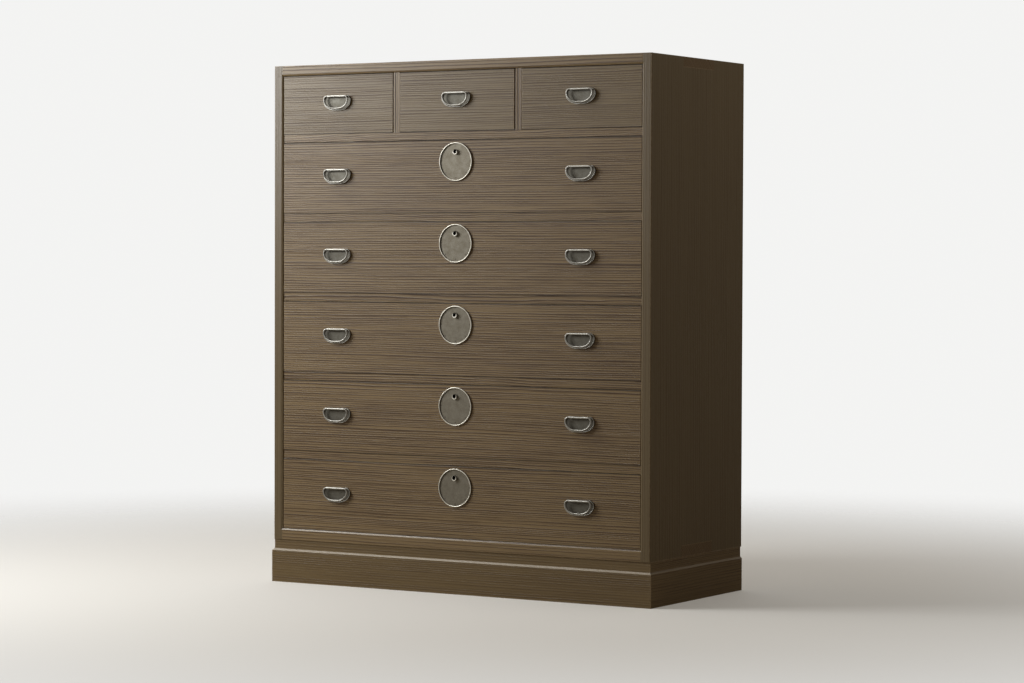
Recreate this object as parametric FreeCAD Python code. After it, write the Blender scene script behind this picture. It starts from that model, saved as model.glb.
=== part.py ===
"""Kiri tansu: a free-standing chest with three small and five large drawers on a plinth.

Millimetres. X runs to the right, Y into the chest, Z up. The origin is the middle of the footprint on
the floor. Every drawer, bail and bolt is drawn where it rests: shut, hanging and unlocked.
"""
import FreeCAD, Part
import math
import os

V = FreeCAD.Vector
ALONG_X = V(1, 0, 0)
ALONG_Y = V(0, 1, 0)
ALONG_Z = V(0, 0, 1)

# ---- carcass -------------------------------------------------------------------------------------
carcass_width = 1059.0
carcass_depth = 460.0
side_thickness = 25.0
top_thickness = 24.7
bottom_thickness = 27.4
finger_count = 3            # box-joint fingers along each corner, the sides holding the odd ones
opening_bevel = 3.7         # bevel round the inside of the front frame, across its face
opening_bevel_depth = 2.0
outer_round = 1.5           # softened outer edges
housing_depth = 6.0         # how far rails and dust boards are let into the sides
back_thickness = 8.0
back_rebate = 10.0          # lap of the back boards on the side boards
back_board_count = 5

# ---- base ----------------------------------------------------------------------------------------
plinth_height = 82.0
plinth_thickness = 24.0
plinth_front_step = 2.5     # how far the plinth stands out past the carcass
plinth_side_step = 4.5
plinth_back_inset = 5.0
plinth_bevel = 4.5
band_height = 23.0
band_width = 60.0
band_front_recess = 3.0
block_size = 45.0

# ---- rows of drawers -----------------------------------------------------------------------------
large_row_count = 5
small_drawer_count = 3
large_opening_height = 174.4
small_opening_height = 144.4
rail_height = 19.6
rail_depth = 45.0
divider_thickness = 17.4
divider_groove_inset = 5.9  # middle of the groove from the divider's left face
divider_groove_width = 1.5
divider_groove_depth = 2.0
drawer_recess = 2.5         # drawer faces behind the front of the carcass
rail_setback = 1.5          # rails and dividers behind the drawer faces
dust_thickness = 8.0
runner_width = 30.0
stop_width = 40.0
stop_height = 14.0
stop_depth = 22.7           # stop blocks reach from the back boards to just behind the drawers
stop_inset = 40.0           # stop blocks from the sides of their opening

# ---- drawers -------------------------------------------------------------------------------------
front_thickness = 20.0
front_round = 0.8
front_lip = 8.0             # wood of the front that covers the ends of the sides
drawer_side_thickness = 10.0
drawer_back_thickness = 10.0
drawer_bottom_thickness = 8.0
side_drop = 4.0             # drawer sides end below the top of the front
gap_side = 1.6
gap_top = 1.2
gap_run = 0.3               # running clearance under a drawer and behind it

# ---- pulls ---------------------------------------------------------------------------------------
pull_rise = 3.2             # middle of the back plate above the middle of the drawer front
pull_width = 80.0
pull_height = 36.5
pull_top_corner = 13.0
pull_corner_width = 32.0    # the long curve at each end of the lower edge
pull_plate_thickness = 1.2
pull_rim_width = 1.9
pull_rim_height = 4.0
pull_rim_round = 0.6
hood_width = 51.0
hood_height = 4.4
hood_depth = 11.0
hood_round = 1.8
bail_width = 72.6
bail_drop = 31.9            # bottom of the bail below its pivot
bail_wire_radius = 2.1
bail_top_corner = 8.0
bail_corner_width = 28.0
pivot_radius = 1.5
pivot_length = 6.0
pivot_standoff = 9.3        # pivot axis in front of the drawer face
running_clearance = 0.08    # radial, of a pin in its hole
pivot_end_play = 0.2        # between the bail's shoulders and the ends of the hood
stud_radius = 2.0
stud_spacing = 40.0
stud_hole_clearance = 0.25
nut_height = 3.2
nut_circle_radius = 4.0
stud_tail = 1.5             # thread past the nut

# ---- locks ---------------------------------------------------------------------------------------
lock_plate_radius = 46.0
lock_plate_thickness = 1.2
lock_rim_width = 2.7
lock_rim_height = 4.3
lock_plate_drop = 52.8      # middle of the plate below the top of the opening
nail_count = 8
nail_circle_radius = 40.2
nail_head_radius = 1.5
nail_head_height = 0.9
nail_shank_radius = 0.7
nail_cover = 9.0            # wood of the drawer front left behind a nail's tip
keyhole_rise = 22.9         # keyhole above the middle of the plate
bush_radius = 6.25
keyhole_radius = 3.75
bush_round = 0.7
bush_stand = 7.0            # tip of the bush in front of the drawer face
seat_clearance = 0.05       # radial, of a fixed piece in its hole
case_width = 64.0
case_depth = 16.0
case_below_keyhole = 26.0
case_wall = 1.5
case_top_drop = 3.0         # top of the case below the top of the opening
flange_width = 92.0
screw_spacing_x = 78.0
screw_spacing_z = 24.0
screw_radius = 1.6
screw_cover = 6.0           # wood left past a screw's tip
screw_head_radius = 3.2
screw_head_height = 1.6
pilot_depth = 1.0           # a screw's or nail's hole past its tip
bolt_width = 26.0
bolt_thickness = 5.0
bolt_setback = 6.0          # bolt behind the front wall of the case
bolt_height = 30.0
bolt_notch = 8.0
bolt_travel = 9.0
bolt_clearance = 0.3
guide_step = 5.0            # ledge under each foot of the bolt
guide_wall = 3.0
guide_height = 10.0
strike_width = 52.0
strike_depth = 16.0
strike_thickness = 1.2
strike_slot_clearance = 1.0
mortise_clearance = 3.0     # above the bolt when it is up
strike_screw_spacing = 42.0

# ---- worked out ----------------------------------------------------------------------------------
# The bails stand furthest forward, so they set how far the carcass lies behind the middle.
bail_reach = pivot_standoff + bail_wire_radius
pull_reach = max(bail_reach, hood_depth, bush_stand) - drawer_recess
carcass_front = (pull_reach - carcass_depth) / 2
carcass_back = carcass_front + carcass_depth
back_board_front = carcass_back - back_thickness
face_y = carcass_front + drawer_recess
rail_front = face_y + rail_setback
rail_back = rail_front + rail_depth
front_back = face_y + front_thickness
stop_front = back_board_front - stop_depth
drawer_back = stop_front - gap_run

half_width = carcass_width / 2
half_clear = half_width - side_thickness
carcass_bottom = plinth_height + band_height
floor_of_rows = carcass_bottom + bottom_thickness
row_pitch = large_opening_height + rail_height
top_row_floor = floor_of_rows + large_row_count * row_pitch
ceiling = top_row_floor + small_opening_height
height = ceiling + top_thickness
bay_width = (2 * half_clear - (small_drawer_count - 1) * divider_thickness) / small_drawer_count

nail_tip = front_back - nail_cover
case_screw_tip = face_y + screw_cover
strike_screw_rise = rail_height - screw_cover
mortise_height = bolt_travel - case_top_drop - bolt_clearance + mortise_clearance
pivot_below_top = hood_height / 2
bail_half = bail_width / 2 - bail_wire_radius
bail_centre_drop = bail_drop - bail_wire_radius


def row_floor(row):
    """Bottom of a large row's opening. Row 1 is the lowest."""
    return floor_of_rows + (row - 1) * row_pitch


def rows():
    return range(1, large_row_count + 1)


def bay_centres():
    step = bay_width + divider_thickness
    return [(i - (small_drawer_count - 1) / 2) * step for i in range(small_drawer_count)]


def large_pulls():
    """Pulls of the large drawers, under the middles of the outermost small drawers."""
    centres = bay_centres()
    return [centres[0], centres[-1]]


# ---- helpers -------------------------------------------------------------------------------------
def box(x0, x1, y0, y1, z0, z1):
    return Part.makeBox(x1 - x0, y1 - y0, z1 - z0, V(x0, y0, z0))


def rod(radius, x, z, y0, y1):
    """A cylinder along Y."""
    return Part.makeCylinder(radius, y1 - y0, V(x, y0, z), ALONG_Y)


def cross_rod(radius, x0, x1, y, z):
    """A cylinder along X."""
    return Part.makeCylinder(radius, x1 - x0, V(x0, y, z), ALONG_X)


def cut_all(shape, cutters):
    for cutter in cutters:
        shape = shape.cut(cutter)
    return shape


def move(shape, x, y, z):
    moved = shape.copy()
    moved.translate(V(x, y, z))
    return moved


def edges_on(shape, test):
    """Straight edges whose two ends both pass the test."""
    found = []
    for edge in shape.Edges:
        if len(edge.Vertexes) == 2 and all(test(v.Point) for v in edge.Vertexes):
            found.append(edge)
    return found


def near(a, b):
    return abs(a - b) < 1e-6


def export(node, solids):
    shape = solids[0] if len(solids) == 1 else Part.Compound(solids)
    shape.exportStep(os.path.join("parts", node + ".step"))


# ---- carcass pieces ------------------------------------------------------------------------------
def carcass_envelope():
    """The carcass as one block with its outer front and top edges softened."""
    block = box(-half_width, half_width, carcass_front, carcass_back, carcass_bottom, height)

    def at_front(p):
        return near(p.y, carcass_front)

    def at_top_side(p):
        return near(p.z, height) and near(abs(p.x), half_width)

    picked = edges_on(block, at_front)
    for edge in edges_on(block, at_top_side):
        if near(edge.Length, carcass_depth):
            picked.append(edge)
    return block.makeFillet(outer_round, picked)


def opening_flare():
    """The tapered cut that bevels the front frame round the whole opening."""
    low, high = floor_of_rows, ceiling
    return Part.makeWedge(
        -half_clear - opening_bevel, carcass_front, low - opening_bevel, low, -half_clear,
        half_clear + opening_bevel, carcass_front + opening_bevel_depth, high + opening_bevel, high, half_clear)


def finger_cutters(x0, x1, z0, z1, parity):
    """The blocks of every second finger along the corner, from the front back."""
    step = carcass_depth / finger_count
    blocks = []
    for i in range(finger_count):
        if i % 2 == parity:
            blocks.append(box(x0, x1, carcass_front + i * step, carcass_front + (i + 1) * step, z0, z1))
    return blocks


def back_recess():
    reach = half_clear + back_rebate
    return box(-reach, reach, back_board_front, carcass_back, floor_of_rows, ceiling)


def corner_spans():
    """X spans of the left and right corners and Z spans of the bottom and top corners."""
    across = [(-half_width, -half_clear), (half_clear, half_width)]
    up = [(carcass_bottom, floor_of_rows), (ceiling, height)]
    return across, up


def side_board(sign):
    x0, x1 = sorted((sign * half_clear, sign * half_width))
    board = box(x0, x1, carcass_front, carcass_back, carcass_bottom, height)
    cutters = [opening_flare(), back_recess()]
    across, up = corner_spans()
    for z0, z1 in up:
        cutters += finger_cutters(x0, x1, z0, z1, 1)
    inner = sign * half_clear
    x0, x1 = sorted((inner, inner + sign * housing_depth))
    for row in rows():
        low = row_floor(row) + large_opening_height
        cutters.append(box(x0, x1, rail_front, rail_back, low, low + rail_height))
        top = low + rail_height
        cutters.append(box(x0, x1, rail_back, back_board_front, top - dust_thickness, top))
    return cut_all(board, cutters).common(carcass_envelope())


def lid_board(z0, z1):
    """The top or bottom board, its even fingers running through the sides."""
    board = box(-half_width, half_width, carcass_front, carcass_back, z0, z1)
    cutters = [opening_flare()]
    across, up = corner_spans()
    for x0, x1 in across:
        cutters += finger_cutters(x0, x1, z0, z1, 0)
    return cut_all(board, cutters).common(carcass_envelope())


def back_boards():
    reach = half_clear + back_rebate
    step = (ceiling - floor_of_rows) / back_board_count
    boards = []
    for i in range(back_board_count):
        z0 = floor_of_rows + i * step
        boards.append(box(-reach, reach, back_board_front, carcass_back, z0, z0 + step))
    return boards


def bolt_span():
    """Front and back of a lock bolt."""
    y0 = front_back + case_wall + bolt_setback
    return y0, y0 + bolt_thickness


def strike_screws():
    return [-strike_screw_spacing / 2, strike_screw_spacing / 2]


def front_rail(row):
    """The rail over a large row, with the bolt's mortise and the strike plate's recess."""
    low = row_floor(row) + large_opening_height
    reach = half_clear + housing_depth
    rail = box(-reach, reach, rail_front, rail_back, low, low + rail_height)
    b0, b1 = bolt_span()
    mid = (b0 + b1) / 2
    half = bolt_width / 2 + strike_slot_clearance
    cutters = [
        box(-half, half, b0 - strike_slot_clearance, b1 + strike_slot_clearance, low, low + mortise_height),
        box(-strike_width / 2, strike_width / 2, mid - strike_depth / 2, mid + strike_depth / 2,
            low, low + strike_thickness)]
    for x in strike_screws():
        pilot = strike_screw_rise + pilot_depth
        cutters.append(Part.makeCylinder(screw_radius, pilot, V(x, mid, low), ALONG_Z))
    return cut_all(rail, cutters)


def strike_plate(row):
    """A flat plate let into the rail, with the bolt's slot and two countersunk screws."""
    low = row_floor(row) + large_opening_height
    b0, b1 = bolt_span()
    mid = (b0 + b1) / 2
    half = bolt_width / 2 + strike_slot_clearance
    plate = box(-strike_width / 2, strike_width / 2, mid - strike_depth / 2, mid + strike_depth / 2,
                low, low + strike_thickness)
    cutters = [box(-half, half, b0 - strike_slot_clearance, b1 + strike_slot_clearance, low,
                   low + strike_thickness)]
    solids = []
    for x in strike_screws():
        seat = Part.makeCone(screw_head_radius, screw_radius, strike_thickness, V(x, mid, low), ALONG_Z)
        shank = Part.makeCylinder(screw_radius - seat_clearance, strike_screw_rise - strike_thickness,
                                  V(x, mid, low + strike_thickness), ALONG_Z)
        head = Part.makeCone(screw_head_radius - seat_clearance, screw_radius - seat_clearance,
                             strike_thickness, V(x, mid, low), ALONG_Z)
        cutters.append(seat)
        solids.append(head.fuse(shank).removeSplitter())
    return [cut_all(plate, cutters)] + solids


def dust_board(row):
    top = row_floor(row) + row_pitch
    reach = half_clear + housing_depth
    return box(-reach, reach, rail_back, back_board_front, top - dust_thickness, top)


def runners_and_stops():
    """Battens under the dust boards along both sides, and stop blocks behind every drawer."""
    solids = []
    for row in rows():
        low = row_floor(row) + large_opening_height
        high = low + rail_height - dust_thickness
        solids.append(box(-half_clear, -half_clear + runner_width, rail_back, back_board_front, low, high))
        solids.append(box(half_clear - runner_width, half_clear, rail_back, back_board_front, low, high))
        solids += stop_blocks(0, 2 * half_clear, row_floor(row))
    for centre in bay_centres():
        solids += stop_blocks(centre, bay_width, top_row_floor)
    return solids


def stop_blocks(x, width, floor):
    reach = width / 2 - stop_inset
    return [box(x - reach, x - reach + stop_width, stop_front, back_board_front, floor, floor + stop_height),
            box(x + reach - stop_width, x + reach, stop_front, back_board_front, floor, floor + stop_height)]


def dividers():
    """Upright boards between the small drawers, each with a fine groove down its front edge."""
    solids = []
    centres = bay_centres()
    for left, right in zip(centres, centres[1:]):
        x0 = (left + right - divider_thickness) / 2
        groove = x0 + divider_groove_inset
        board = box(x0, x0 + divider_thickness, rail_front, back_board_front, top_row_floor, ceiling)
        solids.append(board.cut(box(groove - divider_groove_width / 2, groove + divider_groove_width / 2,
                                    rail_front, rail_front + divider_groove_depth, top_row_floor, ceiling)))
    return solids


# ---- base pieces ---------------------------------------------------------------------------------
def frame_boards(x0, x1, y0, y1, z0, z1, board, envelope):
    """Four boards round a rectangle, mitred at its corners."""
    a0, a1, b0, b1 = x0 + board, x1 - board, y0 + board, y1 - board
    outer = [(x0, y0), (x1, y0), (x1, y1), (x0, y1)]
    inner = [(a0, b0), (a1, b0), (a1, b1), (a0, b1)]
    pieces = []
    for i in range(4):
        j = (i + 1) % 4
        corners = [outer[i], outer[j], inner[j], inner[i], outer[i]]
        plan = Part.Face(Part.makePolygon([V(x, y, z0) for x, y in corners]))
        pieces.append(plan.extrude(V(0, 0, z1 - z0)).common(envelope))
    return pieces


def plinth_bounds():
    x = half_width + plinth_side_step
    return -x, x, carcass_front - plinth_front_step, carcass_back - plinth_back_inset


def plinth_boards():
    x0, x1, y0, y1 = plinth_bounds()
    block = box(x0, x1, y0, y1, 0, plinth_height)

    def at_top_rim(p):
        return near(p.z, plinth_height)

    rim = [e for e in edges_on(block, at_top_rim) if not near(e.CenterOfMass.y, y1)]
    block = block.makeChamfer(plinth_bevel, rim)
    return frame_boards(x0, x1, y0, y1, 0, plinth_height, plinth_thickness, block)


def base_band():
    """The flat frame that the carcass stands on. It sits on the plinth boards and their blocks."""
    y0 = carcass_front + band_front_recess
    y1 = carcass_back - plinth_back_inset
    block = box(-half_width, half_width, y0, y1, plinth_height, carcass_bottom)
    return frame_boards(-half_width, half_width, y0, y1, plinth_height, carcass_bottom, band_width, block)


def plinth_blocks():
    """Square blocks glued into the corners of the plinth, and one in the middle of each long board."""
    x0, x1, y0, y1 = plinth_bounds()
    inner_x = x1 - plinth_thickness
    inner_y0 = y0 + plinth_thickness
    inner_y1 = y1 - plinth_thickness
    solids = []
    for a, b in ((-inner_x, -inner_x + block_size), (-block_size / 2, block_size / 2),
                 (inner_x - block_size, inner_x)):
        solids.append(box(a, b, inner_y0, inner_y0 + block_size, 0, plinth_height))
        solids.append(box(a, b, inner_y1 - block_size, inner_y1, 0, plinth_height))
    return solids


# ---- drawers -------------------------------------------------------------------------------------
def stud_places(pulls, top):
    """Centres of the studs of the pulls at the given x places."""
    z = top - pull_height / 2
    return [(x + side * stud_spacing / 2, z) for x in pulls for side in (-1, 1)]


def drawer_front(x, width, floor, opening, pulls, lock):
    """The face board: softened front edges, rebates for sides and bottom, holes for the fittings."""
    half = width / 2
    low = floor + gap_run
    high = floor + opening - gap_top
    board = box(x - half, x + half, face_y, front_back, low, high)

    def at_face(p):
        return near(p.y, face_y)

    board = board.makeFillet(front_round, edges_on(board, at_face))
    cutters = [box(x - half, x + half, face_y + front_lip, front_back, low, low + drawer_bottom_thickness)]
    for side in (-1, 1):
        a, b = sorted((x + side * half, x + side * (half - drawer_side_thickness)))
        cutters.append(box(a, b, face_y + front_lip, front_back, low, high - side_drop))
    for sx, sz in stud_places(pulls, pull_top(floor, opening)):
        cutters.append(rod(stud_radius + stud_hole_clearance, sx, sz, face_y, front_back))
    if lock:
        cutters.append(rod(bush_radius + seat_clearance, x, keyhole_z(floor), face_y, front_back))
        for nx, nz in nail_places(x, floor):
            cutters.append(rod(nail_shank_radius + seat_clearance, nx, nz, face_y, nail_tip + pilot_depth))
        pilot_end = case_screw_tip - pilot_depth
        for sx, sz in case_screw_places(x, floor):
            cutters.append(rod(screw_radius + seat_clearance, sx, sz, pilot_end, front_back))
    return cut_all(board, cutters)


def drawer_box(x, width, floor, opening):
    """Two sides, a back and a bottom, all square-edged boards."""
    half = width / 2
    low = floor + gap_run
    high = floor + opening - gap_top - side_drop
    deck = low + drawer_bottom_thickness
    inner = half - drawer_side_thickness
    start = face_y + front_lip
    return [
        box(x - half, x - inner, start, drawer_back, deck, high),
        box(x + inner, x + half, start, drawer_back, deck, high),
        box(x - inner, x + inner, drawer_back - drawer_back_thickness, drawer_back, deck, high),
        box(x - half, x + half, start, drawer_back, low, deck)]


# ---- pulls ---------------------------------------------------------------------------------------
def pull_top(floor, opening):
    """Top edge of a pull's plate."""
    middle = floor + (gap_run + opening - gap_top) / 2
    return middle + pull_rise + pull_height / 2


def quarter(cx, cz, radius, start):
    """A quarter circle in the XZ plane, from the start angle round by 90 degrees."""
    points = []
    for turn in (0, 45, 90):
        a = math.radians(start + turn)
        points.append(V(cx + radius * math.cos(a), 0, cz + radius * math.sin(a)))
    return Part.Arc(*points).toShape()


def long_quarter(cx, cz, wide, tall, start):
    """A quarter of a lying ellipse in the XZ plane, from the start angle round by 90 degrees."""
    ellipse = Part.Ellipse(V(cx + wide, 0, cz), V(cx, 0, cz + tall), V(cx, 0, cz))
    return ellipse.toShape(math.radians(start), math.radians(start + 90))


def d_curve(half, top, bottom, round_corner, long_corner):
    """The D from its upper left round by the bottom to its upper right, without the top edge."""
    waist = top - round_corner
    tall = waist - bottom
    left = -half + long_corner
    right = half - long_corner
    return [
        quarter(-half + round_corner, waist, round_corner, 90),
        long_quarter(left, waist, long_corner, tall, 180),
        Part.LineSegment(V(left, 0, bottom), V(right, 0, bottom)).toShape(),
        long_quarter(right, waist, long_corner, tall, 270),
        quarter(half - round_corner, waist, round_corner, 0)]


def pull_outline(inset):
    """The D of the plate, its top edge at z = 0, drawn in by an inset."""
    half = pull_width / 2 - inset
    corner = pull_top_corner - inset
    edges = d_curve(half, -inset, -pull_height + inset, corner, pull_corner_width - inset)
    reach = half - corner
    edges.append(Part.LineSegment(V(reach, 0, -inset), V(-reach, 0, -inset)).toShape())
    return Part.Wire(edges)


def slab(wire, thickness):
    """The flat plate inside a wire, from y = 0 forward."""
    return Part.Face(wire).extrude(V(0, -thickness, 0))


def pull_plate():
    """Back plate with its raised rim, hooded top bar with the pivot holes, and two studs.

    Drawn with the middle of its top edge at x = z = 0 and the drawer face at y = 0.
    """
    plate = slab(pull_outline(0), pull_rim_height)
    well = slab(pull_outline(pull_rim_width), pull_rim_height)
    well.translate(V(0, -pull_plate_thickness, 0))
    plate = plate.cut(well)
    rim_front = -pull_rim_height
    crest = [e for e in plate.Edges if near(e.BoundBox.YMin, rim_front) and near(e.BoundBox.YMax, rim_front)]
    plate = plate.makeFillet(min(pull_rim_round, pull_rim_width * 0.45), crest)
    half = hood_width / 2
    hood = box(-half, half, -hood_depth, 0, -hood_height, 0)

    def at_hood_front(p):
        return near(p.y, -hood_depth)

    long_edges = [e for e in edges_on(hood, at_hood_front) if near(e.Length, hood_width)]
    hood = hood.makeFillet(min(hood_round, hood_height * 0.45), long_edges)
    plate = plate.fuse(hood)
    bore = pivot_radius + running_clearance
    depth = pivot_length + pivot_end_play
    for x0 in (-half, half - depth):
        plate = plate.cut(cross_rod(bore, x0, x0 + depth, -pivot_standoff, -pivot_below_top))
    for x in (-stud_spacing / 2, stud_spacing / 2):
        tail = front_thickness + nut_height + stud_tail
        plate = plate.fuse(rod(stud_radius, x, -pull_height / 2, -pull_plate_thickness / 2, tail))
    return plate.removeSplitter()


def nut(x, z):
    """A hexagon nut on a stud, against the back of the drawer front."""
    points = []
    for i in range(7):
        a = math.radians(60 * i)
        points.append(V(x + nut_circle_radius * math.cos(a), 0, z + nut_circle_radius * math.sin(a)))
    blank = Part.Face(Part.makePolygon(points)).extrude(V(0, nut_height, 0))
    return blank.cut(rod(stud_radius + seat_clearance, x, z, 0, nut_height))


def bail_path():
    """The wire's centre line from pivot to pivot, the pivot axis at the origin."""
    start = hood_width / 2 + pivot_end_play
    reach = bail_half - bail_top_corner
    curve = d_curve(bail_half, 0, -bail_centre_drop, bail_top_corner, bail_corner_width)
    first = Part.LineSegment(V(-start, 0, 0), V(-reach, 0, 0)).toShape()
    last = Part.LineSegment(V(reach, 0, 0), V(start, 0, 0)).toShape()
    return Part.Wire([first] + curve + [last])


def bail():
    """A round wire bent to a D, its turned-in ends thinned to pins."""
    start = hood_width / 2 + pivot_end_play
    section = Part.Wire(Part.makeCircle(bail_wire_radius, V(-start, 0, 0), ALONG_X))
    wire = bail_path().makePipeShell([section], True, True)
    reach = hood_width / 2 - pivot_length
    for sign in (-1, 1):
        x0, x1 = sorted((sign * reach, sign * (start + bail_wire_radius)))
        wire = wire.fuse(cross_rod(pivot_radius, x0, x1, 0, 0))
    return wire.removeSplitter()


# ---- locks ---------------------------------------------------------------------------------------
def lock_centre_z(floor):
    return floor + large_opening_height - lock_plate_drop


def keyhole_z(floor):
    return lock_centre_z(floor) + keyhole_rise


def nail_places(x, floor):
    z = lock_centre_z(floor)
    places = []
    for i in range(nail_count):
        a = 2 * math.pi * i / nail_count
        places.append((x + nail_circle_radius * math.cos(a), z + nail_circle_radius * math.sin(a)))
    return places


def case_screw_places(x, floor):
    z = (case_bottom(floor) + case_top(floor)) / 2
    return [(x + i * screw_spacing_x / 2, z + k * screw_spacing_z / 2) for i in (-1, 1) for k in (-1, 1)]


def case_bottom(floor):
    return keyhole_z(floor) - case_below_keyhole


def case_top(floor):
    return floor + large_opening_height - case_top_drop


def lock_plate(x, floor):
    """A turned plate with a raised, rounded rim, holed for the bush and the nails."""
    r = lock_plate_radius
    inner = r - lock_rim_width
    crown = lock_rim_width / 2
    flat = lock_plate_thickness
    top = lock_rim_height
    arc = Part.Arc(V(r, -(top - crown), 0), V(r - crown, -top, 0), V(inner, -(top - crown), 0)).toShape()

    def line(a, b):
        return Part.LineSegment(V(a[0], -a[1], 0), V(b[0], -b[1], 0)).toShape()

    profile = Part.Wire([
        line((0, 0), (r, 0)), line((r, 0), (r, top - crown)), arc,
        line((inner, top - crown), (inner, flat)), line((inner, flat), (0, flat)), line((0, flat), (0, 0))])
    plate = Part.Face(profile).revolve(V(0, 0, 0), ALONG_Y, 360)
    plate = Part.Solid(plate) if plate.ShapeType == "Shell" else plate
    plate = move(plate, x, face_y, lock_centre_z(floor))
    hole = bush_radius + seat_clearance
    plate = plate.cut(rod(hole, x, keyhole_z(floor), face_y - lock_rim_height, face_y))
    for nx, nz in nail_places(x, floor):
        plate = plate.cut(rod(nail_shank_radius + seat_clearance, nx, nz, face_y - lock_rim_height, face_y))
    return plate


def nail(x, z):
    """A round-headed nail through the plate into the drawer front."""
    seat = face_y - lock_plate_thickness
    r, h = nail_head_radius, nail_head_height
    ball = (r * r + h * h) / (2 * h)
    dome = Part.makeSphere(ball, V(x, seat - h + ball, z))
    dome = dome.common(box(x - 2 * r, x + 2 * r, seat - h, seat, z - 2 * r, z + 2 * r))
    shank = rod(nail_shank_radius, x, z, seat, nail_tip)
    return dome.fuse(shank).removeSplitter()


def keyhole_bush(x, floor):
    z = keyhole_z(floor)
    y0 = face_y - bush_stand
    y1 = front_back + case_wall
    bush = rod(bush_radius, x, z, y0, y1).cut(rod(keyhole_radius, x, z, y0, y1))
    rim = [e for e in bush.Edges if near(e.BoundBox.YMax, y0)]
    return bush.makeFillet(min(bush_round, (bush_radius - keyhole_radius) * 0.45), rim)


def lock_case(x, floor):
    """A flanged steel box on the back of the drawer front, open for the bush and the bolt."""
    z0, z1 = case_bottom(floor), case_top(floor)
    half = case_width / 2
    wall = case_wall
    shell = box(x - half, x + half, front_back, front_back + case_depth, z0, z1)
    flange = box(x - flange_width / 2, x + flange_width / 2, front_back, front_back + wall, z0, z1)
    body = shell.fuse(flange).cut(box(x - half + wall, x + half - wall, front_back + wall,
                                      front_back + case_depth - wall, z0 + wall, z1 - wall))
    for block in guide_blocks(x, floor):
        body = body.fuse(block)
    b0, b1 = bolt_span()
    c = bolt_clearance
    cutters = [
        box(x - bolt_width / 2 - c, x + bolt_width / 2 + c, b0 - c, b1 + c, bolt_bottom(floor) - c, z1),
        rod(bush_radius + seat_clearance, x, keyhole_z(floor), front_back, front_back + wall)]
    for sx, sz in case_screw_places(x, floor):
        cutters.append(rod(screw_radius + seat_clearance, sx, sz, front_back, front_back + wall))
    return cut_all(body, cutters).removeSplitter()


def guide_blocks(x, floor):
    """Two blocks on the back wall of the case that the bolt's feet rest on and slide between."""
    b0, b1 = bolt_span()
    c = bolt_clearance
    y1 = front_back + case_depth - case_wall
    z0 = bolt_bottom(floor) - c - guide_wall
    z1 = bolt_bottom(floor) + guide_height
    inner = bolt_width / 2 - guide_step
    outer = bolt_width / 2 + c + guide_wall
    return [box(x - outer, x - inner, b0 - c, y1, z0, z1), box(x + inner, x + outer, b0 - c, y1, z0, z1)]


def case_screw(x, z):
    """A round-headed wood screw through the flange, driven from inside the drawer."""
    seat = front_back + case_wall
    shank = rod(screw_radius, x, z, case_screw_tip, seat)
    return shank.fuse(rod(screw_head_radius, x, z, seat, seat + screw_head_height)).removeSplitter()


def bolt_bottom(floor):
    return case_top(floor) - bolt_clearance - bolt_height


def lock_bolt(x, floor):
    """The flat bolt, its top just inside the case, with the notch that the key lifts it by."""
    b0, b1 = bolt_span()
    low = bolt_bottom(floor)
    half = bolt_width / 2
    blade = box(x - half, x + half, b0, b1, low, low + bolt_height)
    notch = bolt_notch / 2
    return blade.cut(box(x - notch, x + notch, b0, b1, low, low + bolt_notch))


# ---- putting it together -------------------------------------------------------------------------
def export_carcass():
    export("left_side_board", [side_board(-1)])
    export("right_side_board", [side_board(1)])
    export("bottom_board", [lid_board(carcass_bottom, floor_of_rows)])
    export("top_board", [lid_board(ceiling, height)])
    export("back_boards", back_boards())
    export("front_rails", [front_rail(row) for row in rows()])
    export("dust_boards", [dust_board(row) for row in rows()])
    export("runners_and_stops", runners_and_stops())
    export("dividers", dividers())
    export("strike_plates", [solid for row in rows() for solid in strike_plate(row)])
    export("base_band", base_band())
    export("plinth_boards", plinth_boards())
    export("plinth_blocks", plinth_blocks())


def export_drawer(name, x, width, floor, opening, pulls, lock):
    """One drawer: front, box, pull plates with nuts, its bails, and its lock where it has one."""
    top = pull_top(floor, opening)
    export(name + "_front", [drawer_front(x, width, floor, opening, pulls, lock)])
    export(name + "_box", drawer_box(x, width, floor, opening))
    fittings = [move(pull_plate(), px, face_y, top) for px in pulls]
    fittings += [move(nut(sx, sz), 0, front_back, 0) for sx, sz in stud_places(pulls, top)]
    export(name + "_pull_plates", fittings)
    sides = ["_left", "_right"] if len(pulls) == 2 else [""]
    for side, px in zip(sides, pulls):
        export(name + "_bail" + side, [move(bail(), px, face_y - pivot_standoff, top - pivot_below_top)])
    if lock:
        solids = [lock_plate(x, floor), keyhole_bush(x, floor), lock_case(x, floor)]
        solids += [nail(nx, nz) for nx, nz in nail_places(x, floor)]
        solids += [case_screw(sx, sz) for sx, sz in case_screw_places(x, floor)]
        export(name + "_lock", solids)
        export(name + "_bolt", [lock_bolt(x, floor)])


def main():
    os.makedirs("parts", exist_ok=True)
    export_carcass()
    for row in rows():
        export_drawer("large_drawer_%d" % row, 0, 2 * (half_clear - gap_side), row_floor(row),
                      large_opening_height, large_pulls(), True)
    for i, centre in enumerate(bay_centres()):
        export_drawer("small_drawer_%d" % (i + 1), centre, bay_width - 2 * gap_side, top_row_floor,
                      small_opening_height, [centre], False)
    print("height", height, "front", carcass_front, "back", carcass_back)


main()
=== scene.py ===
"""A kiri tansu dressed for rendering: brushed paulownia boards and satin metal fittings.

All the object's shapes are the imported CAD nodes. This script gives each one its material, and adds
a floor, lamps and the camera. Lengths are metres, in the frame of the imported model. In the
materials they are millimetres, measured on the CAD model, so a board's grain moves with it.
"""

import math

import bpy
from mathutils import Matrix, Vector


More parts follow.
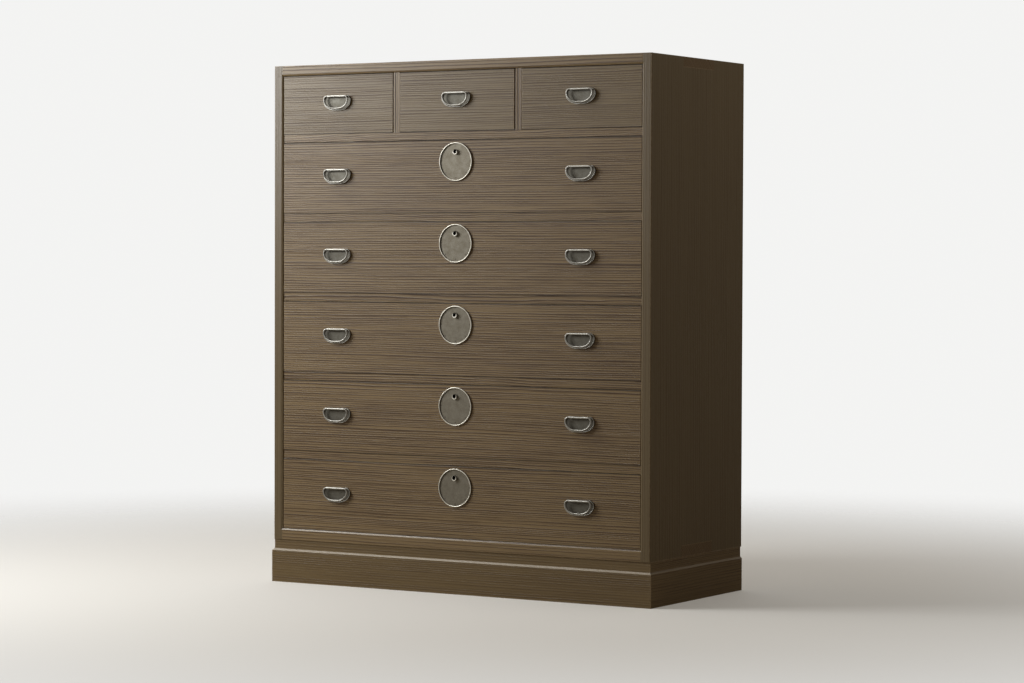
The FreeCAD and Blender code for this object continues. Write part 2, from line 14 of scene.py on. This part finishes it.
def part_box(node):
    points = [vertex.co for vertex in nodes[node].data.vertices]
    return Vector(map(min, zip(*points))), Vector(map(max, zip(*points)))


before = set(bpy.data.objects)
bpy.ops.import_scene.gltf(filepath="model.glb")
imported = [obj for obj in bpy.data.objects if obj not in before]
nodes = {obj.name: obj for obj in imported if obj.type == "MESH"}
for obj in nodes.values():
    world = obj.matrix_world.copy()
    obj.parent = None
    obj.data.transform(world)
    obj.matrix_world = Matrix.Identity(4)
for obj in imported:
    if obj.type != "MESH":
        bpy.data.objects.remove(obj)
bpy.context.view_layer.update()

MM = 0.001
X, Y, Z = 0, 1, 2
scene = bpy.context.scene


def ending(suffix):
    return sorted(name for name in nodes if name.endswith(suffix))


fronts = ending("_front")
boxes = ending("_box")
pull_plates = ending("_pull_plates")
locks = ending("_lock")
bolts = ending("_bolt")
bails = sorted(name for name in nodes if "_bail" in name)
FACE_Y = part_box("large_drawer_1_front")[0].y / MM    # the drawer faces, in millimetres


# ---- node trees ----------------------------------------------------------------------------------
def srgb(red, green, blue):
    """A colour as it shows on a screen, 0 to 255, in the renderer's linear values."""
    def linear(value):
        v = value / 255
        return v / 12.92 if v <= 0.04045 else ((v + 0.055) / 1.055) ** 2.4
    return (linear(red), linear(green), linear(blue), 1.0)


class Tree:
    """A node tree under construction, with short calls for the nodes it needs.

    A value is a plain number or the output of another node.
    """

    def __init__(self, tree):
        self.tree = tree
        self.coordinates = tree.nodes.new("ShaderNodeTexCoord")

    def node(self, kind, **settings):
        made = self.tree.nodes.new(kind)
        for key, value in settings.items():
            setattr(made, key, value)
        return made

    def feed(self, socket, value):
        """Links a socket to another node's output, or sets it to a plain value."""
        if isinstance(value, bpy.types.NodeSocket):
            self.tree.links.new(value, socket)
        else:
            socket.default_value = value

    def math(self, operation, first, second=0.0, third=0.0):
        made = self.node("ShaderNodeMath", operation=operation)
        for socket, value in zip(made.inputs, (first, second, third)):
            self.feed(socket, value)
        return made.outputs[0]

    def total(self, *terms):
        """The sum of (factor, value) pairs."""
        result = 0.0
        for factor, value in terms:
            result = self.math("MULTIPLY_ADD", value, factor, result)
        return result

    def length(self, first, second):
        squares = self.math("MULTIPLY", first, first), self.math("MULTIPLY", second, second)
        return self.math("SQRT", self.math("ADD", *squares))

    def clamp01(self, value):
        made = self.node("ShaderNodeClamp")
        self.feed(made.inputs["Value"], value)
        return made.outputs[0]

    def smooth(self, value, low, high):
        """0 at low, 1 at high, and a smooth step between them. low may be the larger."""
        made = self.node("ShaderNodeMapRange", interpolation_type="SMOOTHSTEP")
        self.feed(made.inputs["Value"], value)
        made.inputs["From Min"].default_value = low
        made.inputs["From Max"].default_value = high
        return made.outputs["Result"]

    def blend(self, share, first, second):
        """A colour that goes from first to second."""
        made = self.node("ShaderNodeMix", data_type="RGBA")
        share_input, first_input, second_input, colour_output = 0, 6, 7, 2
        self.feed(made.inputs[share_input], share)
        self.feed(made.inputs[first_input], first)
        self.feed(made.inputs[second_input], second)
        return made.outputs[colour_output]


class Shader(Tree):
    """A material under construction."""

    def __init__(self, name):
        self.material = bpy.data.materials.new(name)
        self.material.use_nodes = True
        super().__init__(self.material.node_tree)
        self.surface = self.tree.nodes["Principled BSDF"]

    def set(self, **values):
        """Feeds the surface's sockets, written with underscores for spaces."""
        for name, value in values.items():
            self.feed(self.surface.inputs[name.replace("_", " ")], value)

    def split(self, vector):
        made = self.node("ShaderNodeSeparateXYZ")
        self.feed(made.inputs[0], vector)
        return made.outputs[0], made.outputs[1], made.outputs[2]

    def vector(self, x, y, z):
        made = self.node("ShaderNodeCombineXYZ")
        for socket, value in zip(made.inputs, (x, y, z)):
            self.feed(socket, value)
        return made.outputs[0]

    def place(self):
        """The x, y and z of a point on the CAD model, in millimetres."""
        scaled = self.node("ShaderNodeVectorMath", operation="SCALE")
        self.feed(scaled.inputs[0], self.coordinates.outputs["Object"])
        scaled.inputs["Scale"].default_value = 1 / MM
        return self.split(scaled.outputs[0])

    def facing(self, axis):
        """How squarely a face looks along an axis, to either side, 0 to 1."""
        return self.math("ABSOLUTE", self.split(self.coordinates.outputs["Normal"])[axis])

    def noise(self, vector, detail=2.0, roughness=0.5):
        """Noise about zero, rarely past 0.35 to either side."""
        made = self.node("ShaderNodeTexNoise")
        self.feed(made.inputs["Vector"], vector)
        made.inputs["Scale"].default_value = 1.0
        made.inputs["Detail"].default_value = detail
        made.inputs["Roughness"].default_value = roughness
        return self.math("SUBTRACT", made.outputs["Fac"], 0.5)

    def even_noise(self, point, size, detail, roughness):
        """Noise with cells of one size, in millimetres, in every direction."""
        cells = self.vector(*(self.math("DIVIDE", value, size) for value in point))
        return self.noise(cells, detail, roughness)

    def ramp(self, value, stops):
        """A grey curve through (position, level) stops."""
        made = self.node("ShaderNodeValToRGB")
        elements = made.color_ramp.elements
        while len(elements) < len(stops):
            elements.new(0.5)
        for element, (position, level) in zip(elements, stops):
            element.position = position
            element.color = (level, level, level, 1.0)
        self.feed(made.inputs[0], value)
        return made.outputs[0]

    def bump(self, height, distance):
        made = self.node("ShaderNodeBump")
        made.inputs["Distance"].default_value = distance
        made.inputs["Strength"].default_value = 1.0
        self.feed(made.inputs["Height"], height)
        return made.outputs["Normal"]

    def end_distance(self, value, start, end):
        """Millimetres from a coordinate to the nearer of two ends, which are given in metres."""
        from_start = self.math("SUBTRACT", value, start / MM)
        return self.math("MINIMUM", from_start, self.math("SUBTRACT", end / MM, value))

    def edge_distance(self, point, corners):
        """Millimetres from a point on a box's surface to the nearest edge of the box."""
        gaps = [self.end_distance(*ends) for ends in zip(point, *corners)]
        small = self.math("MINIMUM", gaps[0], gaps[1])
        large = self.math("MAXIMUM", gaps[0], gaps[1])
        return self.math("MAXIMUM", small, self.math("MINIMUM", large, gaps[2]))


# ---- wood ----------------------------------------------------------------------------------------
OUTER_LIGHT = srgb(138, 115, 79)
# The small drawers' wood, a darker copy of the fronts': painted shade set against the stronger lamp
# light on the top row.
SMALL_PAINTED_SHADE_TONE = srgb(127, 108, 75)
# The base's wood, a darker copy of the fronts': painted shade low on the chest.
BASE_PAINTED_SHADE_TONE = srgb(117, 96, 60)
# The side boards' wood, darker than the fronts' same wood: painted shade.
SIDE_PAINTED_SHADE_TONE = srgb(108, 91, 61)
OUTER_DARK = srgb(70, 44, 6)
OUTER_RUBBED = srgb(150, 128, 96)
# A painted highlight on the plinth's upward bevels.
BEVEL_PAINTED_HIGHLIGHT = srgb(170, 157, 136)
BACK_LIGHT = srgb(168, 142, 106)
BACK_DARK = srgb(112, 86, 56)
INNER_LIGHT = srgb(186, 160, 122)
INNER_DARK = srgb(142, 112, 78)
# Painted shade along the gaps round the drawer fronts, and the dark of the joints drawn on the back.
GAP_SHADE_AND_JOINT_DARK = srgb(30, 21, 12)
WOOD_ROUGHNESS = 0.40
WOOD_SPECULAR = 0.62

# Noise that is stretched along the grain: the length and width of its cells in millimetres, a shift
# that keeps it from repeating another, then its detail and roughness.
DRIFT = (620.0, 150.0, 0.0, 1.5, 0.5)
WANDER = (110.0, 34.0, 40.0, 2.0, 0.5)
FADING = (300.0, 12.0, 60.0, 1.0, 0.5)
STREAKS = (280.0, 2.1, 150.0, 2.0, 0.55)
FIBRES = (70.0, 1.1, 90.0, 3.0, 0.6)
PORES = (10.0, 0.45, 210.0, 1.0, 0.5)
PATCHES = (460.0, 120.0, 300.0, 2.0, 0.5)
PORE_FROM, PORE_FULL = 0.15, 0.24

# What a board's seed moves: its noise, the drift of its rings' spacing, and its rings' strength.
NOISE_SHIFT, SPACING_SHIFT, STRENGTH_SHIFT = 7.31, 3.7, 11.0

# The rings: how dark the late wood is across one of them, how far two waves bend them, as shares of
# wave, by how many rings their spacing drifts and over what length, and how strong they are.
RING_PROFILE = ((0.0, 0.0), (0.40, 0.05), (0.66, 0.45), (0.82, 1.0), (0.93, 0.85), (1.0, 0.0))
DRIFT_SHARE, WANDER_SHARE = 2.6, 0.5
SPACING_DRIFT, SPACING_LENGTH = 3.6, 30.0
RING_LEAST, RING_RANGE, RING_FADE = 0.5, 0.45, 0.9

# How much each part of the figure darkens the wood, and how far it stands proud.
LATE_TONE, STREAK_TONE, FIBRE_TONE, PATCH_TONE, PORE_TONE = 1.15, 1.5, 1.3, 0.5, 0.22
LATE_RISE, STREAK_RISE, FIBRE_RISE, PORE_RISE = 0.9, 0.8, 0.55, -0.25
SHADE_ROUGHNESS = 0.06

# End grain is darker and has less figure. A dull face is rougher. Each pair is how squarely a face
# looks along an axis where this starts and where it is full.
END_FACING, END_SHADE, END_CALM = (0.6, 0.9), 0.45, 0.65
DULL_FACING, DULL_ROUGHNESS = (0.5, 0.9), 0.38

# Rubbed edges, a painted highlight on upward bevels, and painted shade along the gaps between
# boards. The pairs are as above, and reaches are in millimetres.
RUB_NOISE, RUB_UNEVEN = (9.0, 3.0, 0.65), 5.5
RUB_REACH, RUB_FULL = 2.6, 0.2
RUB_SHARE, RUB_SHINE = 0.4, 0.07
BEVEL_UPWARDS, BEVEL_FORWARDS, BEVEL_HIGHLIGHT_SHARE = (0.35, 0.6), (-0.25, 0.6), 0.8
GAP_SHADE_REACH, GAP_SHADE_FULL = 2.6, 0.2
GAP_SHADE_FORWARDS, GAP_SHADE_SHARE, GAP_SHADE_ROUGHNESS = (0.5, 0.8), 0.9, 0.3
BACK_BOARDS = 5
JOINT_SHIFT = 431.0
JOINT_REACH, JOINT_FULL, JOINT_SHARE = 1.1, 0.3, 0.8


def mitred(s, point, corners):
    """The point of a frame of four mitred boards, its x and y changed over on the side boards."""
    x, y, z = point
    low, high = corners
    from_centre = s.math("SUBTRACT", y, (low.y + high.y) / 2 / MM)
    to_side = s.math("SUBTRACT", high.x / MM, s.math("ABSOLUTE", x))
    to_face = s.math("SUBTRACT", (high.y - low.y) / 2 / MM, s.math("ABSOLUTE", from_centre))
    aside = s.math("GREATER_THAN", to_face, to_side)
    turned_x = s.total((1.0, x), (1.0, s.math("MULTIPLY", aside, s.math("SUBTRACT", y, x))))
    turned_y = s.total((1.0, y), (1.0, s.math("MULTIPLY", aside, s.math("SUBTRACT", x, y))))
    return turned_x, turned_y, z


def level_boards(s, l, a, joints):
    """A wall of level boards between two heights, in metres.

    Moves l and a to a stretch of grain of its own on each board, and adds the millimetres from the
    point to the nearest joint.
    """
    start, end = joints
    step = (end - start) / BACK_BOARDS / MM
    place = s.math("DIVIDE", s.math("SUBTRACT", a, start / MM), step)
    to_joint = s.math("MULTIPLY", s.math("PINGPONG", place, 0.5), step)
    board = s.math("FLOOR", place)
    l, a = (s.math("MULTIPLY_ADD", board, JOINT_SHIFT, value) for value in (l, a))
    return l, a, to_joint


def figure(s, l, a, d, seed, tilt, wave, spacing):
    """The late wood, streaks, fibres, patches and pores at a point.

    l, a and d are its places along the grain, across it and in depth, in millimetres.
    """
    def stretched(length, width, shift, detail, roughness):
        place = s.vector(s.math("DIVIDE", l, length),
                         s.math("MULTIPLY_ADD", a, 1 / width, seed * NOISE_SHIFT + shift),
                         s.math("DIVIDE", d, width))
        return s.noise(place, detail, roughness)

    cut = s.total((math.cos(tilt), a), (math.sin(tilt), d),
                  (wave * DRIFT_SHARE, stretched(*DRIFT)),
                  (wave * WANDER_SHARE, stretched(*WANDER)))
    uneven = s.noise(s.vector(s.math("DIVIDE", cut, SPACING_LENGTH), seed * SPACING_SHIFT, 0.0))
    rings = s.total((1 / spacing, cut), (SPACING_DRIFT, uneven))
    which = s.node("ShaderNodeTexWhiteNoise", noise_dimensions="1D")
    s.feed(which.inputs["W"], s.math("ADD", s.math("FLOOR", rings), seed * STRENGTH_SHIFT))
    strength = s.clamp01(s.total((1.0, RING_LEAST), (RING_RANGE, which.outputs["Value"]),
                                 (RING_FADE, stretched(*FADING))))
    late = s.math("MULTIPLY", s.ramp(s.math("FRACT", rings), RING_PROFILE), strength)
    pores = s.smooth(stretched(*PORES), PORE_FROM, PORE_FULL)
    return late, stretched(*STREAKS), stretched(*FIBRES), stretched(*PATCHES), pores


def wood(name, along, across, seed, tilt=0.12, wave=4.0, spacing=5.3, light=OUTER_LIGHT,
         dark=OUTER_DARK, relief=0.24, contrast=1.0, board=None, frame_of_boards=None, gap_shaded=False,
         dull_face=None, joints=None):
    """Paulownia brushed along its grain, so that the dark late wood stands proud of the pale.

    along and across are the axes that the grain follows and that the rings step along. tilt turns
    the rings towards the third axis. wave is how far they wander, spacing how far apart they are,
    and relief how far the late wood stands proud, in millimetres. seed tells boards apart. board is
    the box whose edges are rubbed, and frame_of_boards that of four mitred boards, whose upward
    bevels get a painted highlight. If asked, a board gets painted shade along the gaps above and
    below it. dull_face is the axis of the faces that are left rougher, and joints the lowest and
    highest point of a wall of level boards, in metres.
    """
    s = Shader(name)
    point = s.place()
    axes = mitred(s, point, frame_of_boards) if frame_of_boards else point
    third = X + Y + Z - along - across
    l, a, d = axes[along], axes[across], axes[third]
    if joints:
        l, a, to_joint = level_boards(s, l, a, joints)
    late, streak, fibre, patch, pores = figure(s, l, a, d, seed, tilt, wave, spacing)

    tone = s.total((LATE_TONE * contrast, late), (STREAK_TONE * contrast, streak),
                   (FIBRE_TONE * contrast, fibre), (PATCH_TONE * contrast, patch),
                   (PORE_TONE, pores))
    ends = 0.0 if frame_of_boards else s.smooth(s.facing(along), *END_FACING)
    tone = s.math("MULTIPLY", tone, s.math("MULTIPLY_ADD", ends, -END_CALM, 1.0))
    shade = s.clamp01(s.total((1.0, tone), (END_SHADE, ends)))
    colour = s.blend(shade, light, dark)
    rough = s.total((SHADE_ROUGHNESS, shade), (1.0, WOOD_ROUGHNESS))
    if board:
        rub = s.even_noise(point, *RUB_NOISE)
        to_edge = s.total((1.0, s.edge_distance(point, board)), (-RUB_UNEVEN, rub))
        edge = s.smooth(to_edge, RUB_REACH, RUB_FULL)
        colour = s.blend(s.math("MULTIPLY", edge, RUB_SHARE), colour, OUTER_RUBBED)
        rough = s.total((1.0, rough), (-RUB_SHINE, edge))
    if frame_of_boards:
        # A painted highlight on bevels that face upwards and forwards.
        bevel_highlight = s.math("MULTIPLY", s.smooth(s.facing(Z), *BEVEL_UPWARDS),
                       s.smooth(s.facing(Y), *BEVEL_FORWARDS))
        colour = s.blend(s.math("MULTIPLY", bevel_highlight, BEVEL_HIGHLIGHT_SHARE), colour, BEVEL_PAINTED_HIGHLIGHT)
    # Painted shade along the gaps above and below the board, on its forward faces.
    if gap_shaded:
        to_gap = s.end_distance(a, board[0][across], board[1][across])
        gap_shade = s.math("MULTIPLY", s.smooth(to_gap, GAP_SHADE_REACH, GAP_SHADE_FULL),
                       s.smooth(s.facing(Y), *GAP_SHADE_FORWARDS))
        colour = s.blend(s.math("MULTIPLY", gap_shade, GAP_SHADE_SHARE), colour, GAP_SHADE_AND_JOINT_DARK)
        rough = s.total((1.0, rough), (GAP_SHADE_ROUGHNESS, gap_shade))
    if dull_face is not None:
        dull = s.smooth(s.facing(dull_face), *DULL_FACING)
        rough = s.total((1.0, rough), (DULL_ROUGHNESS, dull))
    if joints:
        joint = s.smooth(to_joint, JOINT_REACH, JOINT_FULL)
        colour = s.blend(s.math("MULTIPLY", joint, JOINT_SHARE), colour, GAP_SHADE_AND_JOINT_DARK)

    height = s.total((LATE_RISE, late), (STREAK_RISE, streak), (FIBRE_RISE, fibre),
                     (PORE_RISE, pores))
    s.set(Base_Color=colour, Roughness=rough, Normal=s.bump(height, relief * MM),
          Specular_IOR_Level=WOOD_SPECULAR)
    return s.material


# ---- metal ---------------------------------------------------------------------------------------
PLATE_COLOUR = srgb(136, 130, 118)
PLATE_STAIN = srgb(100, 92, 76)
PULL_COLOUR = srgb(115, 112, 104)
PULL_STAIN = srgb(80, 74, 62)
# Lighter rims: rubbed metal with a painted highlight.
RUBBED_RIM_AND_HIGHLIGHT = srgb(184, 181, 173)
LOCK_RIM_AND_HIGHLIGHT = srgb(226, 221, 209)
BAIL_COLOUR = srgb(182, 179, 172)
BAIL_STAIN = srgb(112, 107, 98)
IRON_COLOUR = srgb(104, 98, 92)
# A stain colour for iron and round the nails, also used for painted shade in hollows.
IRON_STAIN_AND_SHADE = srgb(62, 56, 52)
# Painted shade for the keyhole.
KEYHOLE_PAINTED_SHADE = srgb(16, 13, 10)

# Noise as the size of its cells in millimetres, its detail and its roughness, then how much of it
# is stain and how much makes the metal rougher.
CLOUD_NOISE, SPECK_NOISE = (14.0, 4.0, 0.6), (2.6, 3.0, 0.6)
CLOUD_STAIN, SPECK_STAIN, LEAST_STAIN = 1.3, 0.9, 0.35
CLOUD_ROUGHNESS, SPECK_ROUGHNESS = 0.12, 0.16
SPECK_HEIGHT = 0.08
RIM_SHINE = 0.05
# Painted shade in hollows, from ambient occlusion: its samples, where it starts and where it is
# full, and its share.
HOLLOW_SHADE_SAMPLES, HOLLOW_SHADE_FROM, HOLLOW_SHADE_FULL, HOLLOW_SHADE_SHARE = 8, 0.9, 0.3, 0.8

# On a lock plate, in millimetres: the circle that the nails stand on and the dirt round each, then
# the keyhole's height above the plate's centre, its radius and how far its painted shade reaches.
NAIL_COUNT = 8
NAIL_CIRCLE = 40.2
NAIL_REACH, NAIL_FULL, NAIL_SHARE = 2.2, 1.2, 0.6
KEYHOLE_RISE = 22.9
KEYHOLE_RADIUS = 3.75
KEYHOLE_SHADE_REACH, KEYHOLE_SHADE_FULL = 1.3, 0.6


def worn_metal(name, colour, stain, roughness, hollow_shade_reach, rim_from=None, rim_to=None,
               rim_and_highlight=RUBBED_RIM_AND_HIGHLIGHT, lock=None):
    """Satin metal, clouded by handling.

    Hollows narrower than the given reach, in millimetres, are darkened with painted shade. Between
    rim_from and rim_to in front of the drawer faces, in millimetres, the metal turns lighter: a
    rubbed rim with a painted highlight. lock is the box of a lock, whose plate has dirt round its
    nails and a keyhole darkened with painted shade.
    """
    s = Shader(name)
    x, y, z = point = s.place()
    cloud = s.even_noise(point, *CLOUD_NOISE)
    speck = s.even_noise(point, *SPECK_NOISE)
    share = s.clamp01(s.total((SPECK_STAIN, speck), (CLOUD_STAIN, cloud), (1.0, LEAST_STAIN)))
    body = s.blend(share, colour, stain)
    rough = s.total((SPECK_ROUGHNESS, speck), (CLOUD_ROUGHNESS, cloud), (1.0, roughness))
    if lock:
        up = s.math("SUBTRACT", z, (lock[0].z + lock[1].z) / 2 / MM)
        turn = s.math("PINGPONG", s.math("ARCTAN2", up, x), math.pi / NAIL_COUNT)
        from_circle = s.math("SUBTRACT", s.length(x, up), NAIL_CIRCLE)
        from_nail = s.length(s.math("MULTIPLY", turn, NAIL_CIRCLE), from_circle)
        dirty = s.math("MULTIPLY", s.smooth(from_nail, NAIL_REACH, NAIL_FULL), NAIL_SHARE)
        body = s.blend(dirty, body, IRON_STAIN_AND_SHADE)
    if rim_from is not None:
        # A lighter rim on the proud metal: rubbed metal and a painted highlight.
        rubbed_and_highlit = s.smooth(s.math("SUBTRACT", FACE_Y, y), rim_from, rim_to)
        body = s.blend(rubbed_and_highlit, body, rim_and_highlight)
        rough = s.total((1.0, rough), (-RIM_SHINE, rubbed_and_highlit))
    # Painted shade in the hollows, where the ambient occlusion finds them.
    shelter = s.node("ShaderNodeAmbientOcclusion", samples=HOLLOW_SHADE_SAMPLES)
    shelter.inputs["Distance"].default_value = hollow_shade_reach * MM
    hollow_shade = s.smooth(shelter.outputs["AO"], HOLLOW_SHADE_FROM, HOLLOW_SHADE_FULL)
    body = s.blend(s.math("MULTIPLY", hollow_shade, HOLLOW_SHADE_SHARE), body, IRON_STAIN_AND_SHADE)
    if lock:
        # Painted shade in and round the keyhole.
        from_axis = s.length(x, s.math("SUBTRACT", up, KEYHOLE_RISE))
        keyhole_shade = s.smooth(from_axis, KEYHOLE_RADIUS + KEYHOLE_SHADE_REACH, KEYHOLE_RADIUS + KEYHOLE_SHADE_FULL)
        body = s.blend(keyhole_shade, body, KEYHOLE_PAINTED_SHADE)
    s.set(Base_Color=body, Roughness=rough, Normal=s.bump(speck, SPECK_HEIGHT * MM), Metallic=1.0)
    return s.material


# ---- dressing ------------------------------------------------------------------------------------
def dress(names, material):
    for name in names:
        for slot in nodes[name].material_slots:
            slot.material = material


for index, name in enumerate(fronts):
    small = name.startswith("small")
    dress([name], wood("kiri_" + name, X, Z, seed=index + 1, board=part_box(name), gap_shaded=True,
                       light=SMALL_PAINTED_SHADE_TONE if small else OUTER_LIGHT,
                       contrast=1.0 if small else 1.65))
dress(["front_rails"], wood("kiri_rails", X, Z, seed=21, tilt=0.6, wave=12.0, contrast=1.7))
for index, name in enumerate(("top_board", "bottom_board")):
    dress([name], wood("kiri_" + name, X, Y, seed=31 + index, tilt=0.85, board=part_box(name),
                       dull_face=X))
for index, name in enumerate(("base_band", "plinth_boards")):
    dress([name], wood("kiri_" + name, X, Z, seed=41 + index, tilt=0.3, light=BASE_PAINTED_SHADE_TONE,
                       contrast=0.65, board=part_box(name), frame_of_boards=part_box(name),
                       dull_face=X))
# The sides take the darker copy of the wood, which is painted shade.
for index, name in enumerate(("left_side_board", "right_side_board")):
    dress([name], wood("kiri_" + name, Z, Y, seed=51 + index, tilt=0.9, light=SIDE_PAINTED_SHADE_TONE,
                       contrast=0.36, board=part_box(name), dull_face=X))
dress(["dividers"], wood("kiri_dividers", Z, X, seed=71, tilt=0.2, wave=1.5, spacing=7.2,
                         contrast=1.2))

UNSEEN = dict(tilt=0.4, wave=14.0, relief=0.10)
INNER = dict(UNSEEN, light=INNER_LIGHT, dark=INNER_DARK, contrast=0.7)
back_low, back_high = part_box("back_boards")
dress(["back_boards"], wood("kiri_back", X, Z, seed=61, light=BACK_LIGHT, dark=BACK_DARK,
                            contrast=0.8, joints=(back_low.z, back_high.z), **UNSEEN))
dress(["dust_boards", "plinth_blocks"], wood("kiri_inside", X, Z, seed=81, **INNER))
dress(boxes + ["runners_and_stops"], wood("kiri_inside_deep", Y, X, seed=91, **INNER))

dress(pull_plates, worn_metal("pull_plate_metal", PULL_COLOUR, PULL_STAIN, roughness=0.52,
                              hollow_shade_reach=8.0, rim_from=2.0, rim_to=3.6))
for name in locks:
    dress([name], worn_metal(name + "_metal", PLATE_COLOUR, PLATE_STAIN, roughness=0.55,
                             hollow_shade_reach=1.2, rim_from=2.8, rim_to=3.9, rim_and_highlight=LOCK_RIM_AND_HIGHLIGHT,
                             lock=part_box(name)))
dress(bails, worn_metal("bail_metal", BAIL_COLOUR, BAIL_STAIN, roughness=0.46, hollow_shade_reach=3.0))
dress(bolts + ["strike_plates"], worn_metal("lock_iron", IRON_COLOUR, IRON_STAIN_AND_SHADE, roughness=0.45,
                                            hollow_shade_reach=3.0))


# ---- floor, lamps, camera ------------------------------------------------------------------------
# The floor lights the chest with its own colour, and the camera sees the paler one, with a glow. It
# is whole near the chest and fades out further off, at shares of its reach.
FLOOR_COLOUR = srgb(164, 155, 139)
FLOOR_SEEN = srgb(222, 219, 213)
FLOOR_GLOW = 0.2
FLOOR_REACH = 6.0
FLOOR_GONE, FLOOR_WHOLE = 0.55, 0.14
GLOSSY_SHARE = 0.16


def seen_directly(s):
    """1 for what the camera sees, also through a pane, and a share of it for what gloss shows."""
    path = s.node("ShaderNodeLightPath").outputs
    glossy = s.math("MULTIPLY", path["Is Glossy Ray"], GLOSSY_SHARE)
    direct = s.math("MAXIMUM", path["Is Camera Ray"], path["Is Transmission Ray"])
    return s.math("MAXIMUM", glossy, direct)


def make_floor():
    """A pale floor that fades into the plain background well away from the chest."""
    mesh = bpy.data.meshes.new("floor")
    r = FLOOR_REACH
    mesh.from_pydata([(-r, -r, 0), (r, -r, 0), (r, r, 0), (-r, r, 0)], [], [(0, 1, 2, 3)])
    floor = bpy.data.objects.new("floor", mesh)
    scene.collection.objects.link(floor)
    s = Shader("pale_floor")
    x, y, _ = s.place()
    seen = seen_directly(s)
    s.set(Base_Color=s.blend(seen, FLOOR_COLOUR, FLOOR_SEEN),
          Emission_Color=FLOOR_SEEN,
          Emission_Strength=s.math("MULTIPLY", seen, FLOOR_GLOW),
          Alpha=s.smooth(s.length(x, y), FLOOR_GONE * r / MM, FLOOR_WHOLE * r / MM),
          Roughness=0.85,
          Specular_IOR_Level=0.2)
    mesh.materials.append(s.material)


# The world lights the chest dimly, and palely from a direction behind it: wholly pale within
# PALE_CORE of that, and dim beyond PALE_EDGE.
WORLD_DIM = (0.128, 0.108, 0.082, 1.0)
WORLD_PALE = (0.90, 0.90, 0.89, 1.0)
PALE_FROM = (-0.52, 0.85, 0.05)
PALE_EDGE, PALE_CORE = math.radians(64), math.radians(20)


def make_world():
    """A pale background as the camera sees it, and soft light on the chest."""
    world = bpy.data.worlds.new("studio")
    scene.world = world
    world.use_nodes = True
    s = Tree(world.node_tree)
    towards = s.node("ShaderNodeVectorMath", operation="DOT_PRODUCT")
    s.feed(towards.inputs[0], s.coordinates.outputs["Generated"])
    towards.inputs[1].default_value = Vector(PALE_FROM).normalized()
    shed = s.smooth(towards.outputs["Value"], math.cos(PALE_EDGE), math.cos(PALE_CORE))
    pale = s.math("MAXIMUM", shed, seen_directly(s))
    background = world.node_tree.nodes["Background"]
    s.feed(background.inputs["Color"], s.blend(pale, WORLD_DIM, WORLD_PALE))
    background.inputs["Strength"].default_value = 1.0


# Each lamp's name, place, target, width and height, watts and colour.
LAMPS = (
    ("window", (-2.0, -1.65, 1.75), (-0.1, -0.2, 1.05), (1.2, 1.2), 52.0, (0.95, 0.98, 1.0)),
    ("skylight", (-1.8, -0.6, 3.1), (0.0, -0.2, 0.4), (1.6, 1.2), 28.0, (1.0, 0.98, 0.96)),
    ("fill", (1.30, 0.35, 1.95), (0.5, 0.0, 0.95), (0.8, 0.8), 2.1, (1.0, 0.94, 0.84)),
)


def make_lamp(name, place, target, size, power, colour):
    data = bpy.data.lights.new(name, "AREA")
    data.shape = "RECTANGLE"
    data.size, data.size_y = size
    data.energy = power
    data.color = colour
    lamp = bpy.data.objects.new(name, data)
    lamp.location = place
    lamp.rotation_euler = (Vector(target) - Vector(place)).to_track_quat("-Z", "Y").to_euler()
    scene.collection.objects.link(lamp)


CAMERA_PLACE = (3.7922, -6.1742, 0.8077)
CAMERA_YAW = math.radians(31.42)
CAMERA_PITCH = math.radians(-1.66)
CAMERA_ROLL = math.radians(-0.19)
CAMERA_LENS = 104.34
CAMERA_SENSOR = 36.0
CAMERA_SIGHT = 60.0


def make_camera():
    forward = Vector((-math.sin(CAMERA_YAW) * math.cos(CAMERA_PITCH),
                      math.cos(CAMERA_YAW) * math.cos(CAMERA_PITCH), math.sin(CAMERA_PITCH)))
    right = forward.cross(Vector((0, 0, 1))).normalized()
    down = forward.cross(right)
    rolled_right = right * math.cos(CAMERA_ROLL) + down * math.sin(CAMERA_ROLL)
    rolled_down = down * math.cos(CAMERA_ROLL) - right * math.sin(CAMERA_ROLL)
    data = bpy.data.cameras.new("camera")
    data.sensor_width = CAMERA_SENSOR
    data.lens = CAMERA_LENS
    data.clip_end = CAMERA_SIGHT
    camera = bpy.data.objects.new("camera", data)
    turn = Matrix((rolled_right, -rolled_down, -forward)).transposed()
    camera.matrix_world = Matrix.Translation(CAMERA_PLACE) @ turn.to_4x4()
    scene.collection.objects.link(camera)
    scene.camera = camera


make_floor()
make_world()
for lamp in LAMPS:
    make_lamp(*lamp)
make_camera()
scene.view_settings.view_transform = "Standard"
